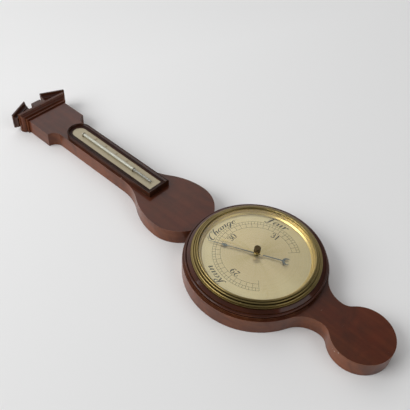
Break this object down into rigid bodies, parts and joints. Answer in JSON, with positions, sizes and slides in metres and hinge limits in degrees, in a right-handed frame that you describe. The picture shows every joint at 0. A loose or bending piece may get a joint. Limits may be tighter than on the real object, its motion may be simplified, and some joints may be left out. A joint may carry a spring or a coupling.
{
  "type": "banjo barometer",
  "caption": "Wall barometer on a banjo-shaped mahogany board: broken pediment, boxed thermometer, silvered aneroid dial in a stepped brass bezel, turning reading marker.",
  "frame": {"origin": "on the dial's axis in the back plane, at the back cover's outer face", "axes": "+Y up the board towards the pediment, +X to the right of someone reading the dial, +Z out of the dial towards the reader; the part lies on its back"},
  "size_m": [0.22, 0.7794, 0.0536],
  "materials": {
    "mahogany": "gloss",
    "dark_mahogany": "gloss",
    "aged_brass": "satin",
    "polished_brass": "gloss",
    "silvered_plate": "satin",
    "glass": "gloss",
    "mercury": "gloss",
    "aged_wire": "satin",
    "dark_bronze": "satin",
    "blued_steel": "satin",
    "steel": "satin",
    "nickel": "satin"
  },
  "bodies": {
    "case": {"backboard": "mahogany", "turned_surround": "dark_mahogany", "cornice": "dark_mahogany", "pediment_panel": "dark_mahogany", "raking_left": "dark_mahogany", "raking_right": "dark_mahogany", "finial_block": "dark_mahogany", "thermometer_frame": "dark_mahogany", "thermometer_plate": "silvered_plate", "thermometer_tube": "glass", "thermometer_liquid": "mercury", "tube_clips": "aged_wire", "bezel": "aged_brass", "bezel_pins": "aged_brass", "sight_ring": "polished_brass", "dial_glass": "glass", "glass_bush": "aged_brass", "dial_plate": "silvered_plate", "hairspring": "steel", "chain": "steel", "movement_plate": "aged_brass", "dial_pillars": "aged_brass", "pillar_screws": "steel", "vacuum_capsule": "nickel", "spring_bridge": "aged_brass", "mainspring": "blued_steel", "rocker_posts": "aged_brass", "arbor_bridge": "aged_brass", "back_cover": "dark_mahogany", "cover_screws": "aged_brass", "hanger_plate": "aged_brass", "hanger_screws": "aged_brass"},
    "pointer": {"pointer_hand": "blued_steel", "pointer_arbor": "steel"},
    "set_marker": {"set_knob": "dark_bronze", "set_spindle": "dark_bronze", "set_hand": "polished_brass"},
    "rocker": {"rocker_shaft": "steel"},
    "lever": {"main_lever": "steel", "capsule_post": "steel", "connecting_link": "steel"},
    "adjuster": {"adjusting_screw": "steel"}
  },
  "joints": [
    {"name": "pointer_turn", "type": "hinge", "parent": "case", "child": "pointer", "pos_m": [0, 0, 0.039], "axis": [0, 0, 1], "range_deg": [-155, 106], "deforming": ["hairspring", "chain"]},
    {"name": "set_turn", "type": "hinge", "parent": "case", "child": "set_marker", "pos_m": [0, 0, 0.0445], "axis": [0, 0, 1], "continuous": true},
    {"name": "rocker_turn", "type": "hinge", "parent": "case", "child": "rocker", "pos_m": [0, -0.036, 0.0178], "axis": [1, 0, 0], "range_deg": [-21.5, 15]},
    {"name": "lever_swing", "type": "hinge", "parent": "case", "child": "lever", "pos_m": [0, 0.022, 0.0208], "axis": [1, 0, 0], "range_deg": [-1.6, 2.2], "deforming": ["mainspring", "vacuum_capsule"]},
    {"name": "adjuster_turn", "type": "hinge", "parent": "case", "child": "adjuster", "pos_m": [0, 0.034, 0.006], "axis": [0, 0, 1], "range_deg": [-360, 360]}
  ],
  "couplings": [
    {"joint": "rocker_turn", "follows": "pointer_turn", "ratio": 0.13333},
    {"joint": "lever_swing", "follows": "pointer_turn", "ratio": -0.012579}
  ]
}
